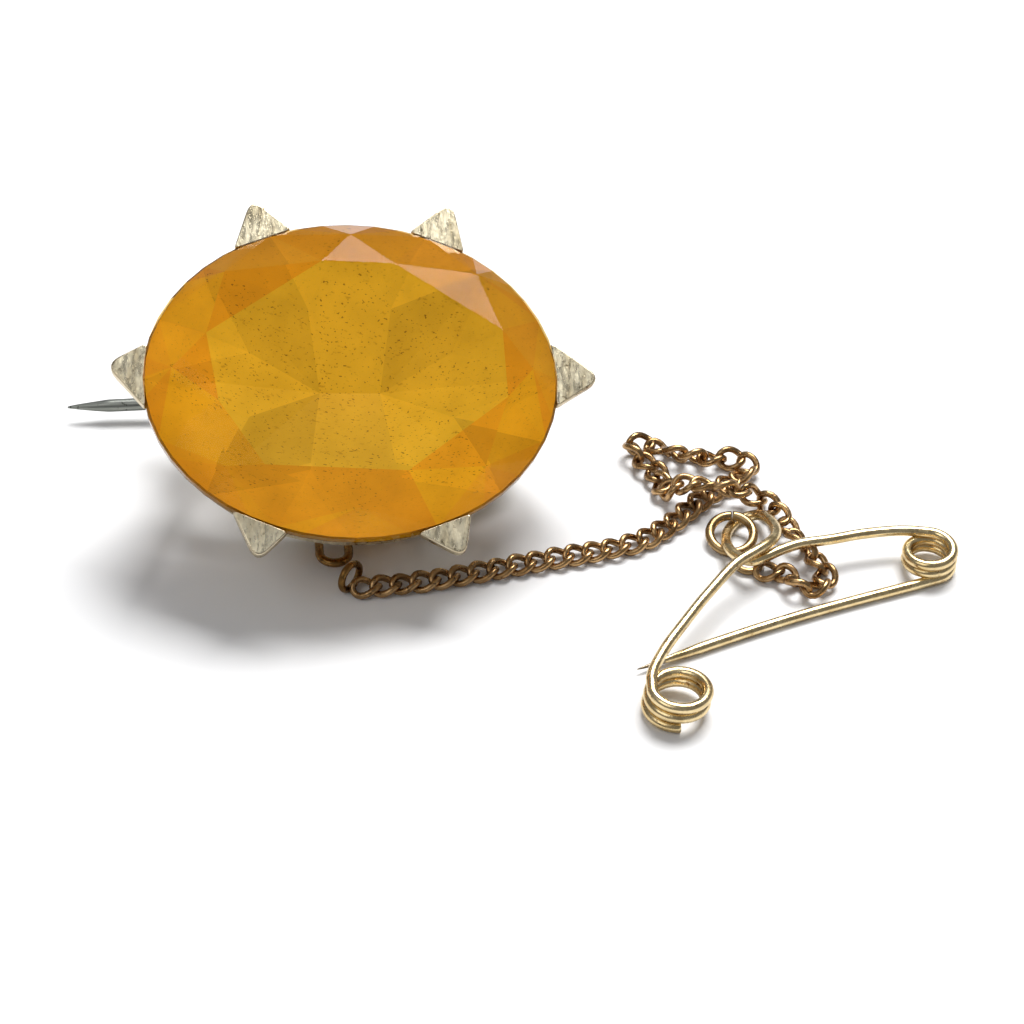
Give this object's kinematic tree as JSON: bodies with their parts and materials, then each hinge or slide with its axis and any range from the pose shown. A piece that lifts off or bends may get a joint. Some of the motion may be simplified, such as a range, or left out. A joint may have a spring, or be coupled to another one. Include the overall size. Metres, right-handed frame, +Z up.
{
  "type": "brooch",
  "caption": "Oval faceted stone brooch in pointed claws, with a hinged back pin and a safety chain ending in a coiled safety pin.",
  "frame": {"origin": "middle of the brooch's own box at the surface it lies on, leaving out the safety chain and its pin", "axes": "+Z up from the surface; +X to the right along the long side of the stone, towards the pin's hinge; +Y away from the viewer, towards the raised side"},
  "size_m": [0.0677, 0.0365, 0.0207],
  "materials": {
    "stone": "faceted",
    "setting_gold": "brushed",
    "old_gold": "worn",
    "chain_gold": "worn",
    "wire_gold": "polished",
    "steel": "ground"
  },
  "bodies": {
    "brooch": {"stone": "stone", "seat_rail": "setting_gold", "base_rail": "setting_gold", "claw_right": "setting_gold", "claw_back_right": "setting_gold", "claw_back_left": "setting_gold", "claw_left": "setting_gold", "claw_front_left": "setting_gold", "claw_front_right": "setting_gold", "back_bar": "setting_gold", "hinge_block": "setting_gold", "hinge_rivet": "steel", "catch_post": "setting_gold", "catch_hook": "setting_gold", "chain_staple": "old_gold", "chain_link": "old_gold", "safety_chain": "chain_gold", "end_ring_large": "old_gold", "end_ring_small": "old_gold", "safety_pin_frame": "wire_gold", "safety_pin_guard": "wire_gold", "safety_pin_coil": "wire_gold"},
    "pin": {"pin_stem": "steel"},
    "safety_arm": {"safety_pin_spring": "wire_gold", "safety_pin_arm": "wire_gold"}
  },
  "joints": [
    {"name": "pin_hinge", "type": "hinge", "parent": "brooch", "child": "pin", "pos_m": [0.01371, 0.01151, 0.00393], "axis": [0.0472, -0.8658, -0.4981], "range_deg": [-11, 79]},
    {"name": "safety_arm_spring", "type": "hinge", "parent": "brooch", "child": "safety_arm", "pos_m": [0.045, -0.0063, 0.00042], "axis": [0, 0, -1], "range_deg": [0, 4], "stiffness_Nm_per_rad": 0.005}
  ]
}
